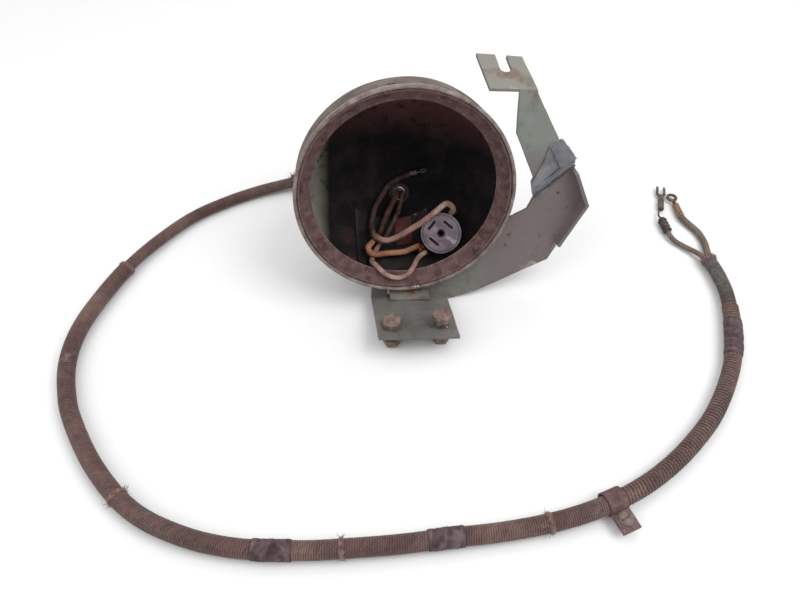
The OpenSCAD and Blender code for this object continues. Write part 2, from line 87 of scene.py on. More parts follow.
# ---------------------------------------------------------------- materials
def material(
    name, colours, scale=60, rough=(0.55, 0.85), bump=0.2, grain=600, metallic=0.0,
    spots=(), stretch=(1, 1, 1), worn=None, weave=None, contrast=(0.36, 0.64), sheen=0.0, seed=0.0, zones=(),
    tone=0.8,
):
    """Procedural surface: mottled colours, spots such as (colour, scale, from, to) for rust or dirt,
    zones such as (colour, axis, from, to) where one colour takes over along an axis of the piece (in some
    materials a painted shade or a painted pool of light), worn edges from the mesh's pointiness, and painted
    shade in the valleys and a painted highlight on the crests of a weave relief attribute."""
    m = bpy.data.materials.new(name)
    m.use_nodes = True
    tree = m.node_tree
    nodes, link = tree.nodes, tree.links.new
    shader = nodes["Principled BSDF"]

    def add(kind, **settings):
        n = nodes.new(kind)
        for k, v in settings.items():
            setattr(n, k, v)
        return n

    def shade(c):
        return tuple(x * tone for x in c)

    def ramp(source, stops):
        r = add("ShaderNodeValToRGB")
        link(source, r.inputs[0])
        while len(r.color_ramp.elements) < len(stops):
            r.color_ramp.elements.new(0.5)
        for e, (at, c) in zip(r.color_ramp.elements, stops):
            e.position = at
            e.color = (*shade(c), 1) if hasattr(c, "__len__") else (c, c, c, 1)
        return r.outputs[0]

    def mix(factor, a, b):
        n = add("ShaderNodeMix", data_type="RGBA")
        link(factor, n.inputs[0])
        link(a, n.inputs[6])
        if hasattr(b, "__len__"):
            n.inputs[7].default_value = (*shade(b), 1)
        else:
            link(b, n.inputs[7])
        return n.outputs[2]

    where = add("ShaderNodeAttribute", attribute_name="drawn").outputs["Vector"]
    mapping = add("ShaderNodeMapping")
    mapping.inputs["Scale"].default_value = stretch
    mapping.inputs["Location"].default_value = (seed, seed * 0.7, seed * 1.3)
    link(where, mapping.inputs[0])
    where = mapping.outputs[0]

    def mottle(size, detail=6.0, roughness=0.62):
        n = add("ShaderNodeTexNoise")
        link(where, n.inputs["Vector"])
        n.inputs["Scale"].default_value = size
        n.inputs["Detail"].default_value = detail
        n.inputs["Roughness"].default_value = roughness
        return n.outputs[0]

    base = mottle(scale)
    span = contrast[1] - contrast[0]
    steps = max(len(colours) - 1, 1)
    colour = ramp(base, [(contrast[0] + span * i / steps, c) for i, c in enumerate(colours)])
    place_of = add("ShaderNodeSeparateXYZ")
    link(where, place_of.inputs[0])
    for c, axis, start, end in zones:
        spread = add("ShaderNodeMapRange")
        spread.inputs["From Min"].default_value = start
        spread.inputs["From Max"].default_value = end
        link(place_of.outputs[axis], spread.inputs["Value"])
        uneven = add("ShaderNodeMath", operation="MULTIPLY")
        link(spread.outputs[0], uneven.inputs[0])
        link(ramp(mottle(scale * 0.8), [(0.25, 0.55), (0.6, 1.0)]), uneven.inputs[1])
        colour = mix(uneven.outputs[0], colour, c)
    height = None
    for k, (c, size, start, end) in enumerate(spots):
        mask = ramp(mottle(size, 8.0, 0.7), [(start, 0.0), (end, 1.0)])
        colour = mix(mask, colour, c)
        height = mask if height is None else height
    if worn:
        point = ramp(add("ShaderNodeNewGeometry").outputs["Pointiness"], [(worn[1], 0.0), (worn[2], 1.0)])
        rub = add("ShaderNodeMath", operation="MULTIPLY")
        link(point, rub.inputs[0])
        link(ramp(mottle(scale * 2.3), [(0.38, 0.15), (0.6, 1.0)]), rub.inputs[1])
        colour = mix(rub.outputs[0], colour, worn[0])
    # Painted shade: the low parts of the weave relief get the first weave colour, and a second colour paints
    # a highlight on its crests.
    if weave:
        threads = add("ShaderNodeAttribute", attribute_name="weave")
        low = ramp(threads.outputs["Fac"], [(0.05, 1.0), (0.6, 0.0)])
        colour = mix(low, colour, weave[0])
        if len(weave) > 1:
            crest_highlight = ramp(threads.outputs["Fac"], [(0.7, 0.0), (1.0, 0.75)])
            colour = mix(crest_highlight, colour, weave[1])
    link(colour, shader.inputs["Base Color"])
    fine = mottle(grain, 5.0, 0.7)
    link(ramp(base, [(0.3, rough[0]), (0.7, rough[1])]), shader.inputs["Roughness"])
    shader.inputs["Metallic"].default_value = metallic
    shader.inputs["Specular IOR Level"].default_value = 0.25
    if sheen:
        shader.inputs["Sheen Weight"].default_value = sheen
    relief = add("ShaderNodeBump")
    relief.inputs["Strength"].default_value = bump
    relief.inputs["Distance"].default_value = 0.0006
    link(fine, relief.inputs["Height"])
    last = relief.outputs[0]
    if height is not None:
        pits = add("ShaderNodeBump")
        pits.inputs["Strength"].default_value = bump
        pits.inputs["Distance"].default_value = 0.0012
        link(height, pits.inputs["Height"])
        link(last, pits.inputs["Normal"])
        last = pits.outputs[0]
    link(last, shader.inputs["Normal"])
    return m


RUST = (0.17, 0.075, 0.045)
DUST = (0.30, 0.27, 0.24)
taupe = material(
    "rim_steel", [(0.10, 0.060, 0.055), (0.17, 0.125, 0.115), (0.26, 0.21, 0.19)], 90, bump=0.6,
    spots=[(RUST, 38, 0.56, 0.66), (DUST, 120, 0.62, 0.74), ((0.07, 0.045, 0.042), 480, 0.60, 0.69)],
    worn=((0.50, 0.45, 0.41), 0.515, 0.57))
seat_metal = material(
    "seat_steel", [(0.08, 0.038, 0.038), (0.115, 0.062, 0.060), (0.155, 0.095, 0.088)], 170, bump=0.9,
    grain=900, spots=[((0.14, 0.06, 0.045), 60, 0.57, 0.68), ((0.055, 0.03, 0.034), 240, 0.58, 0.68),
                      ((0.25, 0.185, 0.17), 620, 0.60, 0.70), ((0.05, 0.025, 0.026), 560, 0.62, 0.70)],
    worn=((0.34, 0.27, 0.24), 0.53, 0.60))
shell_paint = material(
    "housing_paint", [(0.09, 0.055, 0.052), (0.15, 0.115, 0.105), (0.22, 0.18, 0.16)], 40, bump=0.5,
    spots=[((0.10, 0.05, 0.04), 30, 0.55, 0.66), ((0.30, 0.26, 0.23), 95, 0.60, 0.72),
           (RUST, 90, 0.62, 0.70)],
    zones=[((0.13, 0.125, 0.11), 1, 0.03, 0.075)], worn=((0.42, 0.37, 0.33), 0.52, 0.6))
# Drum interior: the near-black base colours are painted shade of the deep drum, and the grey-green zone on
# the left wall (x -52 to -63 mm) is a painted pool of light. The zone towards the top is reddish.
inside_shade_and_light = material(
    "housing_inside_painted_shade_and_light", [(0.003, 0.003, 0.003), (0.009, 0.007, 0.007), (0.02, 0.016, 0.016)], 45, bump=0.3,
    zones=[((0.26, 0.26, 0.22), 0, -0.052, -0.063), ((0.17, 0.062, 0.058), 2, 0.010, 0.056)],
    spots=[((0.09, 0.018, 0.028), 22, 0.58, 0.70), ((0.006, 0.004, 0.005), 110, 0.55, 0.66)],
    rough=(0.9, 0.95))
bracket_paint = material(
    "bracket_paint", [(0.125, 0.118, 0.108), (0.165, 0.162, 0.150), (0.205, 0.205, 0.185)], 26, bump=0.45,
    grain=800, zones=[((0.185, 0.148, 0.148), 0, 0.022, 0.05), ((0.215, 0.245, 0.215), 2, 0.098, 0.125),
                      ((0.245, 0.235, 0.205), 2, 0.150, 0.160)],
    spots=[((0.235, 0.165, 0.125), 40, 0.61, 0.70), ((0.07, 0.055, 0.055), 110, 0.62, 0.70),
           ((0.30, 0.28, 0.26), 170, 0.66, 0.73), ((0.15, 0.105, 0.09), 18, 0.57, 0.70),
           ((0.10, 0.085, 0.08), 650, 0.61, 0.70)],
    worn=((0.46, 0.42, 0.38), 0.53, 0.60))
foot_paint = material(
    "foot_paint", [(0.09, 0.075, 0.072), (0.15, 0.135, 0.125), (0.19, 0.17, 0.15)], 50, bump=0.4,
    spots=[(RUST, 60, 0.55, 0.66)], worn=((0.38, 0.34, 0.30), 0.53, 0.6))
cloth = material(
    "cloth_tape", [(0.125, 0.12, 0.135), (0.175, 0.172, 0.19), (0.24, 0.238, 0.25)], 60, bump=0.35,
    grain=1300, spots=[((0.10, 0.085, 0.095), 30, 0.56, 0.68)], sheen=0.3)
# Near-black cloth used as painted shade for the dark creases of the arm tape.
cloth_crease_shade = material(
    "cloth_tape_crease_shade", [(0.02, 0.016, 0.02), (0.055, 0.046, 0.052), (0.10, 0.09, 0.10)], 90, bump=0.5,
    grain=1300, sheen=0.2)
rusty = material(
    "rusty_steel", [(0.14, 0.085, 0.072), (0.22, 0.15, 0.13), (0.32, 0.245, 0.215)], 260, bump=0.5,
    grain=1500, spots=[((0.09, 0.045, 0.032), 520, 0.56, 0.64), ((0.38, 0.31, 0.28), 420, 0.62, 0.72)],
    metallic=0.15)
black = material("black_rubber", [(0.012, 0.011, 0.013), (0.03, 0.027, 0.03)], 120, (0.45, 0.8), 0.3)
boot_skin = material("boot_rubber", [(0.035, 0.025, 0.024), (0.07, 0.052, 0.048), (0.12, 0.092, 0.082)], 140,
                     (0.5, 0.85), 0.5, 900, worn=((0.24, 0.19, 0.17), 0.52, 0.6))
plug_skin = material(
    "plug_moulding", [(0.115, 0.078, 0.10), (0.155, 0.118, 0.142), (0.20, 0.165, 0.18)], 130, (0.4, 0.65),
    0.35, 700, spots=[((0.07, 0.045, 0.055), 320, 0.62, 0.70), ((0.27, 0.23, 0.25), 420, 0.66, 0.74)],
    worn=((0.34, 0.30, 0.32), 0.53, 0.6))
brass = material("brass_contacts", [(0.03, 0.02, 0.012), (0.10, 0.07, 0.035)], 400, (0.4, 0.6), 0.2,
                 metallic=0.6)
eyelet = material("dark_eyelet", [(0.02, 0.016, 0.02), (0.05, 0.04, 0.048)], 500, (0.35, 0.6), 0.2)
# The zone along y (37 to 47 mm) is painted shade, darkening the lead where it runs deep into the drum. The
# weave colour is painted shade in the braid's valleys.
pink = material(
    "pink_braid", [(0.27, 0.145, 0.12), (0.38, 0.225, 0.185), (0.50, 0.33, 0.27)], 120, bump=0.3, grain=2200,
    weave=[(0.10, 0.045, 0.038)], spots=[((0.13, 0.075, 0.065), 45, 0.60, 0.74)],
    zones=[((0.02, 0.012, 0.011), 1, 0.037, 0.047)])
# The zone along y (38 to 48 mm) is painted shade, darkening the lead where it runs deep into the drum. The
# weave colour is painted shade in the braid's valleys.
orange = material(
    "orange_braid", [(0.28, 0.11, 0.065), (0.42, 0.185, 0.105), (0.52, 0.26, 0.16)], 120, bump=0.3,
    grain=2200,
    weave=[(0.11, 0.035, 0.022)], spots=[((0.12, 0.05, 0.035), 50, 0.60, 0.74)],
    zones=[((0.022, 0.011, 0.009), 1, 0.038, 0.048)])
tin = material("tinned_steel", [(0.07, 0.055, 0.05), (0.14, 0.115, 0.10), (0.24, 0.21, 0.19)], 300,
               (0.4, 0.65), 0.5,
               metallic=0.35, spots=[((0.05, 0.03, 0.024), 260, 0.54, 0.66)])
lug_metal = material("lug_brass", [(0.06, 0.04, 0.03), (0.12, 0.08, 0.055), (0.22, 0.14, 0.09)], 300,
                     (0.4, 0.65), 0.5,
                     metallic=0.35, spots=[((0.045, 0.03, 0.025), 240, 0.54, 0.66)],
                     zones=[((0.36, 0.19, 0.10), 1, 0.0805, 0.079)])
red = material("red_tape", [(0.065, 0.016, 0.018), (0.12, 0.028, 0.030), (0.17, 0.05, 0.05)], 110, bump=0.4,
               grain=1200, spots=[((0.04, 0.02, 0.022), 160, 0.60, 0.70)])
# Saddle plate inside the drum: the near-black base colours are painted shade, and the lighter zone at its
# left edge (x -66 to -73 mm) is painted light.
saddle_shade_skin = material(
    "saddle_painted_shade", [(0.006, 0.005, 0.005), (0.014, 0.011, 0.011), (0.03, 0.024, 0.022)], 60, bump=0.4,
    spots=[((0.05, 0.016, 0.014), 40, 0.58, 0.70)], worn=((0.16, 0.15, 0.13), 0.53, 0.6),
    zones=[((0.075, 0.07, 0.062), 0, -0.066, -0.073)])
# The weave colours are painted shade in the valleys between ribs and a painted highlight on their crests.
loom_skin = material(
    "woven_loom", [(0.095, 0.045, 0.040), (0.145, 0.080, 0.070), (0.20, 0.125, 0.108)], 32, bump=0.5,
    grain=2600,
    weave=[(0.018, 0.008, 0.008), (0.25, 0.165, 0.14)], sheen=0.1,
    spots=[((0.07, 0.045, 0.045), 14, 0.54, 0.66), ((0.23, 0.17, 0.15), 60, 0.62, 0.72),
           ((0.035, 0.018, 0.018), 420, 0.60, 0.70), ((0.30, 0.21, 0.18), 520, 0.63, 0.72)])
fray_skin = material(
    "frayed_loom", [(0.08, 0.04, 0.036), (0.15, 0.085, 0.07), (0.26, 0.17, 0.14)], 300, bump=0.3, grain=2600,
    sheen=0.3)
# The weave colours are painted shade in the tape's creases and a painted highlight on its raised laps.
band_skin = material(
    "dark_tape", [(0.07, 0.042, 0.046), (0.11, 0.07, 0.078), (0.155, 0.108, 0.115)], 70, bump=0.6, grain=900,
    weave=[(0.03, 0.018, 0.02), (0.20, 0.145, 0.15)], spots=[((0.045, 0.028, 0.03), 60, 0.56, 0.68)])
clip_metal = material(
    "clip_steel", [(0.095, 0.052, 0.052), (0.145, 0.088, 0.086), (0.20, 0.135, 0.13)], 160, bump=0.6,
    metallic=0.1,
    spots=[(RUST, 110, 0.57, 0.68), ((0.075, 0.05, 0.055), 260, 0.60, 0.70)],
    worn=((0.36, 0.28, 0.27), 0.53, 0.6))
screw_metal = material(
    "screw_steel", [(0.13, 0.085, 0.08), (0.20, 0.145, 0.135), (0.27, 0.21, 0.19)], 220, bump=0.5,
    metallic=0.2,
    worn=((0.38, 0.31, 0.29), 0.53, 0.6))
# The weave colours are painted shade and painted highlight on the wound thread.
thread = material(
    "grey_thread", [(0.125, 0.118, 0.11), (0.18, 0.178, 0.165), (0.24, 0.235, 0.22)], 140, bump=0.3,
    grain=2600,
    weave=[(0.05, 0.04, 0.038), (0.28, 0.275, 0.255)], spots=[((0.11, 0.07, 0.056), 60, 0.56, 0.68)],
    zones=[((0.13, 0.085, 0.068), 1, -0.012, -0.030)])
# The weave colours are painted shade in the braid's valleys and a painted highlight on its crests.
dark_braid = material(
    "dark_braid", [(0.085, 0.06, 0.05), (0.15, 0.11, 0.09), (0.22, 0.17, 0.14)], 130, bump=0.3, grain=2200,
    weave=[(0.03, 0.02, 0.018), (0.30, 0.24, 0.20)], spots=[((0.07, 0.05, 0.042), 60, 0.56, 0.7)])
grey_braid = material(
    "grey_braid", [(0.09, 0.065, 0.052), (0.15, 0.112, 0.088), (0.22, 0.165, 0.13)], 130, bump=0.4,
    grain=2200,
    weave=[(0.025, 0.016, 0.013), (0.30, 0.23, 0.18)], spots=[((0.34, 0.25, 0.18), 75, 0.63, 0.72)])
copper = material("copper", [(0.30, 0.10, 0.035), (0.48, 0.19, 0.08), (0.60, 0.30, 0.15)], 260, (0.3, 0.55),
                  0.4,
                  metallic=0.6, spots=[((0.10, 0.045, 0.03), 220, 0.57, 0.68)])
pale_fibre = material("pale_fibre", [(0.40, 0.38, 0.36), (0.62, 0.60, 0.57)], 500, bump=0.2, grain=2600)


# ---------------------------------------------------------------- mesh helpers
def piece(name, verts, faces, skin, body="root", matrix=ROW, smooth=True, weave=None, metres=False):
    """A mesh piece, in millimetres unless metres is set, that rides on a body."""
    mesh = bpy.data.meshes.new(name)
    mesh.from_pydata([tuple(Vector(v) * (1 if metres else MM)) for v in verts], [], faces)
    mesh.validate()
    if weave is not None:
        layer = mesh.attributes.new("weave", "FLOAT", "POINT")
        layer.data.foreach_set("value", weave)
    if smooth:
        mesh.polygons.foreach_set("use_smooth", [True] * len(mesh.polygons))
    mesh.materials.append(skin)
    obj = bpy.data.objects.new(name, mesh)
    scene.collection.objects.link(obj)
    obj.matrix_world = matrix
    bpy.context.view_layer.update()
    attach(obj, body)
    return obj


def spline(points, step):
    """Points of a smooth curve through the route, about step apart, and their places along it."""
    pts = [Vector(p) for p in points]
    ends = [pts[0] * 2 - pts[1]] + pts + [pts[-1] * 2 - pts[-2]]
    out, at = [], []
    for i in range(1, len(ends) - 2):
        a, b, c, d = ends[i - 1:i + 3]
        n = max(2, int((c - b).length / step))
        for k in range(n):
            t = k / n
            out.append(0.5 * ((2 * b) + (c - a) * t + (2 * a - 5 * b + 4 * c - d) * t * t
                              + (3 * b - 3 * c + d - a) * t ** 3))
            at.append(i - 1 + t)
    out.append(pts[-1])
    at.append(float(len(pts) - 1))
    return out, at


def frames(line):
    """A tangent, side and up direction at each point of a line, without twist."""
    side, out = None, []
    for i, p in enumerate(line):
        t = (line[min(i + 1, len(line) - 1)] - line[max(i - 1, 0)]).normalized()
        if side is None:
            side = t.cross(Vector((0, 0, 1)) if abs(t.z) < 0.9 else Vector((0, 1, 0))).normalized()
        side = (side - t * side.dot(t)).normalized()
        out.append((t, side, t.cross(side)))
    return out


def swept(line, radius, around, relief=None, caps=True):
    """Rings of a tube along a line. radius(i) is in the line's units; relief(i, angle, travelled)
    gives the surface's height, from 0 to 1, and how far that stands out."""
    verts, faces, heights = [], [], []
    gone = 0.0
    for i, (t, s, u) in enumerate(frames(line)):
        gone += (line[i] - line[i - 1]).length if i else 0
        for k in range(around):
            a = 2 * math.pi * k / around
            h, d = relief(i, a, gone) if relief else (0, 0)
            heights.append(h)
            verts.append(line[i] + (s * math.cos(a) + u * math.sin(a)) * (radius(i) + (h - 1) * d))
    for i in range(len(line) - 1):
        for k in range(around):
            n = (k + 1) % around
            faces.append((i * around + k, i * around + n, (i + 1) * around + n, (i + 1) * around + k))
    if caps:
        faces.append(tuple(range(around))[::-1])
        faces.append(tuple(range((len(line) - 1) * around, len(line) * around)))
    return verts, faces, heights


def braid(pitch, strands, depth):
    """Relief of two crossing sets of threads."""
    def relief(i, a, gone):
        p = math.cos(strands * a + 2 * math.pi * gone / pitch)
        q = math.cos(strands * a - 2 * math.pi * gone / pitch)
        return 0.5 + 0.5 * max(p, q), depth
    return relief


def join(parts):
    verts, faces, heights = [], [], []
    for v, f, h in parts:
        o = len(verts)
        verts += v
        faces += [tuple(i + o for i in face) for face in f]
        heights += h
    return verts, faces, heights


def strand(rng, start, direction, length, r, curl):
    """One loose fibre that wanders as it goes."""
    line, d, p = [start], direction.normalized(), start
    for _ in range(5):
        d = (d + Vector([rng.uniform(-curl, curl) for _ in range(3)])).normalized()
        p = p + d * length / 5
        line.append(p)
    return swept(line, lambda i: r * (1 - 0.5 * i / 5), 5)


def lathe(points, turns=192, dent=0.0, seed=0.0):
    """A closed outline of [radius, y] turned about the drum's axis, with shallow dents."""
    verts, faces, n = [], [], len(points)
    for k in range(turns):
        a = 2 * math.pi * k / turns
        for r, y in points:
            d = dent * noise.noise(Vector((math.cos(a) * 2.2, math.sin(a) * 2.2, y * 0.03 + seed)))
            verts.append(Vector(((r + d) * math.sin(a), y + d * 0.4, -(r + d) * math.cos(a))))
    for k in range(turns):
        m = (k + 1) % turns
        for j in range(n):
            i = (j + 1) % n
            faces.append((k * n + j, m * n + j, m * n + i, k * n + i))
    return verts, faces


def applied(obj):
    """Replaces the object's mesh by its modified one."""
    bpy.context.view_layer.update()
    made = bpy.data.meshes.new_from_object(obj.evaluated_get(bpy.context.evaluated_depsgraph_get()))
    obj.modifiers.clear()
    obj.data = made
    return obj


def cut(obj, verts, faces):
    """Cuts a closed shape, in millimetres, out of an object built in the same coordinates."""
    mesh = bpy.data.meshes.new("cutter")
    mesh.from_pydata([tuple(Vector(v) * MM) for v in verts], [], faces)
    tool = bpy.data.objects.new("cutter", mesh)
    scene.collection.objects.link(tool)
    tool.matrix_world = obj.matrix_world
    m = obj.modifiers.new("cut", "BOOLEAN")
    m.object, m.operation, m.solver = tool, "DIFFERENCE", "EXACT"
    applied(obj)
    bpy.data.objects.remove(tool)


def block(lo, hi):
    v = [(x, y, z) for x in (lo[0], hi[0]) for y in (lo[1], hi[1]) for z in (lo[2], hi[2])]
    return v, [(0, 1, 3, 2), (4, 6, 7, 5), (0, 4, 5, 1), (2, 3, 7, 6), (0, 2, 6, 4), (1, 5, 7, 3)]


def rod(a, b, r, around=32):
    a, b = Vector(a), Vector(b)
    v, f, _ = swept([a, b], lambda i: r, around)
    return v, f


def recalc(obj, angle=35):
    """Normals outward, with hard edges where faces meet at more than the angle."""
    b = bmesh.new()
    b.from_mesh(obj.data)
    bmesh.ops.recalc_face_normals(b, faces=b.faces)
    for e in b.edges:
        e.smooth = len(e.link_faces) == 2 and e.calc_face_angle(0) < math.radians(angle)
    for f in b.faces:
        f.smooth = True
    b.to_mesh(obj.data)
    b.free()
    return obj


def softened(nodes, name, skin, body="root", width=0.35, dent=0.0, size=0.0, seed=0.0, segments=2, big=None):
    """A CAD shape rebuilt with rounded edges and shallow dents, in place of its node. big(edge) picks
    out edges for a wide bend and gives their radius in metres."""
    b = bmesh.new()
    for node in nodes:
        m = NODES[node].data.copy()
        m.transform(NODES[node].matrix_world)
        b.from_mesh(m)
    bmesh.ops.remove_doubles(b, verts=b.verts, dist=2e-6)
    bmesh.ops.dissolve_limit(b, angle_limit=math.radians(1), verts=b.verts, edges=b.edges)
    if big:
        for radius, chosen in big(b):
            if chosen:
                bmesh.ops.bevel(b, geom=chosen, offset=radius, segments=4, profile=0.5,
                                affect="EDGES", clamp_overlap=True)
    sharp = [e for e in b.edges if len(e.link_faces) == 2 and e.calc_face_angle(0) > math.radians(28)]
    if width:
        bmesh.ops.bevel(b, geom=sharp, offset=width * MM, segments=segments, profile=0.6,
                        affect="EDGES", clamp_overlap=True)
    bmesh.ops.triangulate(b, faces=b.faces)
    if size:
        for _ in range(7):
            long = [e for e in b.edges if e.calc_length() > size * MM]
            if not long:
                break
            bmesh.ops.subdivide_edges(b, edges=long, cuts=1)
            bmesh.ops.triangulate(b, faces=b.faces)
    bmesh.ops.recalc_face_normals(b, faces=b.faces)
    if dent:
        b.normal_update()
        for v in b.verts:
            d = noise.noise(v.co * 55 + Vector((seed, 0, 0))) + 0.4 * noise.noise(v.co * 240)
            v.co += Vector((0, 0, 1)).lerp(v.normal, 0.8) * d * dent * MM
    mesh = bpy.data.meshes.new(name)
    b.to_mesh(mesh)
    b.free()
    mesh.materials.append(skin)
    obj = bpy.data.objects.new(name, mesh)
    scene.collection.objects.link(obj)
    recalc(obj, 32)
    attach(obj, body)
    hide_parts(*nodes)
    return obj


# ---------------------------------------------------------------- cable on the table
CABLE = [
    (-33, 57.9, 39.2), (-33.6, 66.8, 31.2), (-34.5, 75.7, 23), (-36.5, 88, 13), (-41, 100, 7.5),
    (-49, 111, 5.2), (-61, 119.5, 5), (-76, 123, 5.5), (-93, 121.5, 6.6), (-113, 115, 7),
    (-135, 106, 7), (-160, 98, 5.5), (-186, 85, 5.2), (-214, 65, 5.5), (-238, 36, 6.5),
    (-258, 3, 7.3), (-272, -31, 7.3), (-280, -61, 7.3), (-280.5, -89, 7.3), (-274, -115, 7.3),
    (-262.5, -140, 7.3), (-237, -176, 7.3), (-206, -205, 7.3), (-171, -221.5, 7.3),
    (-135, -229.5, 7.3), (-94, -231, 7.3), (-63, -229.5, 7.3), (-32, -227, 7.3), (-0.5, -223, 7.3),
    (31, -219.5, 7.3), (64, -213.5, 7.5), (92, -205.5, 8.1), (120, -193.5, 8.1), (146, -177, 7.3),
    (170, -156.5, 7.3), (192, -132, 7.3), (212.5, -98, 7.3), (224, -66, 7.3), (230, -30, 7.3),
    (229.5, -6, 7), (225.5, 14, 7),
]
LARGE_FROM, BINDING_FROM = 15, 37.5
line, place = spline(CABLE, 0.42)
rng = random.Random(5)


def nearest(s):
    return min(range(len(place)), key=lambda i: abs(place[i] - s))


def span_of(a, b):
    return line[nearest(a):nearest(b) + 1]


def loom_radius(i):
    return 4.95 if place[i] < LARGE_FROM else 6.4


def loom_relief(i, a, gone):
    """Ribs across the loom, crossed by the threads that hold them."""
    p = line[i]
    wander = noise.noise(Vector((gone * 0.06, math.cos(a), math.sin(a)))) * 0.9
    coarse = 2.5 if place[i] > 31.5 else 1.55
    rib = 0.5 + 0.5 * math.cos(2 * math.pi * (gone / coarse + wander * 0.35 + a / (2 * math.pi)))
    warp = 0.5 + 0.5 * math.cos(14 * a + 3.2 * math.sin(2 * math.pi * gone / (2 * coarse)))
    rough = 0.25 * noise.noise(p * 0.9 + Vector((math.cos(a), math.sin(a), 0)) * 4)
    return max(0.0, min(1.0, 0.68 * rib ** 0.8 + 0.32 * warp + rough)), 0.5 if coarse < 2 else 0.75


loom_end = nearest(BINDING_FROM + 0.25)
v, f, h = swept(line[:loom_end], loom_radius, 26, loom_relief)
loom = piece("woven_loom", v, f, loom_skin, weave=h)
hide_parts("loom_small", "loom_large")


def fray(name, s, r, count, length, nodes, seed, skin=fray_skin, spread=0.7, edge=1.6):
    """A ragged cut end: a torn band round the loom and the fibres that stand out of it."""
    g = random.Random(seed)
    i = nearest(s)
    t, side, up = frames(line[i - 1:i + 2])[1]
    n = 40
    parts = []
    verts, faces = [], []
    for row in range(4):
        for k in range(n):
            a = 2 * math.pi * k / n
            jag = noise.noise(Vector((math.cos(a) * 3, math.sin(a) * 3, seed))) * edge
            off = (-1.6, -0.9, 0.9 + jag * 0.5, 1.8 + jag)[row]
            rr = r + (0.0, 0.75, 0.95 + 0.25 * jag, 0.15 + 0.3 * jag)[row] + g.uniform(-0.12, 0.12)
            verts.append(line[i] + t * off + (side * math.cos(a) + up * math.sin(a)) * rr)
    for row in range(3):
        for k in range(n):
            m = (k + 1) % n
            faces.append((row * n + k, row * n + m, (row + 1) * n + m, (row + 1) * n + k))
    parts.append((verts, faces, [0.5] * len(verts)))
    for _ in range(count):
        a = g.uniform(0, 2 * math.pi)
        out = side * math.cos(a) + up * math.sin(a)
        start = line[i] + out * (r + 0.2) + t * g.uniform(-1.2, 1.6)
        if start.z < 3:
            continue
        parts.append(strand(g, start, out * spread + t * g.uniform(-1, 1), g.uniform(0.4, 1) * length, 0.16,
                            0.5))
    v, f, h = join(parts)
    o = piece(name, v, f, skin, weave=h)
    if nodes:
        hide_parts(*nodes)
    return o


def wrap_band(name, spans, r, nodes, skin, seed):
    """Tape wound round the loom, its turns lapping a little and its surface wrinkled."""
    parts = []
    for a0, b0 in spans:
        part = span_of(a0, b0)
        n = len(part)

        def relief(i, a, gone):
            turn = (gone / 9.5 + a / (2 * math.pi)) % 1.0
            crease = noise.noise(Vector((gone * 0.35, math.cos(a) * 2.5 + seed, math.sin(a) * 2.5)))
            end = min(1.0, min(i, n - 1 - i) / 2.0)
            return max(0.0, min(1.0, (0.35 + 0.45 * turn + 0.35 * crease) * (0.4 + 0.6 * end))), 0.7
        parts.append(swept(part, lambda i: r, 32, relief))
    v, f, h = join(parts)
    o = piece(name, v, f, skin, weave=h)
    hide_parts(*nodes)
    return o


collar = fray("loom_collar_frayed", 9.75, 5.4, 70, 7.5, ["loom_collar"], 3, spread=1.0, edge=2.6)
joints = [fray("loom_joint_%d" % k, s, 6.35, 26, 4.5, ["loom_joints"] if k == 0 else [], 11 + k, edge=1.3)
          for k, s in enumerate((21.66, 25.81, 29.96))]
bands = wrap_band("tape_bands_wound", [(24.25, 24.85), (27.55, 28.28), (36.4, 37.35)], 7.15, ["tape_bands"],
                  band_skin, 2.0)
ragged = fray("loom_change_fray", 15.02, 5.9, 22, 4.0, [], 21, edge=1.2)

# Grey thread wound round the cable's end, in mm.
THREAD_PITCH = 1.5
THREAD_R = 0.75
THREAD_AT = 4.75
CORE_R = 4.7
TURN_STEPS = 20
core = span_of(BINDING_FROM, 40)
length_so_far = [0.0]
for i in range(1, len(core)):
    length_so_far.append(length_so_far[-1] + (core[i] - core[i - 1]).length)
cf = frames(core)
total = length_so_far[-1]
turns = int(total / THREAD_PITCH)
idx = 0
helix = []
for k in range(turns * TURN_STEPS):
    d = (k / (turns * TURN_STEPS)) * total
    while idx < len(core) - 2 and length_so_far[idx + 1] < d:
        idx += 1
    q = (d - length_so_far[idx]) / max(1e-6, length_so_far[idx + 1] - length_so_far[idx])
    c = core[idx].lerp(core[idx + 1], q)
    _, s_, u_ = cf[idx]
    a = 2 * math.pi * k / TURN_STEPS
    rr = THREAD_AT + 0.12 * noise.noise(Vector((d * 0.3, a, 0)))
    helix.append(c + (s_ * math.cos(a) + u_ * math.sin(a)) * rr)
v1, f1, h1 = swept(helix, lambda i: THREAD_R, 8)
v2, f2, h2 = swept(core, lambda i: CORE_R, 20)
# Heights for the thread's colour: noise, plus one side of each turn lightened and the other darkened as
# painted light and shade. The core under the turns is set low, so it is painted dark as shade between them.
h1 = [0.6 + 0.5 * noise.noise(p * 0.8) + (0.25 if k % 8 in (0, 1, 7) else -0.3 if k % 8 in (3, 4, 5) else 0)
      for k, p in enumerate(v1)]
v, f, h = join([(v1, f1, h1), (v2, f2, [0.1] * len(v2))])
binding = piece("end_binding_thread", v, f, thread, weave=h)
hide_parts("end_binding")
end_ring = fray("end_collar_frayed", 39.86, 5.6, 40, 4.0, ["end_collar"], 31, edge=1.5, spread=0.9)

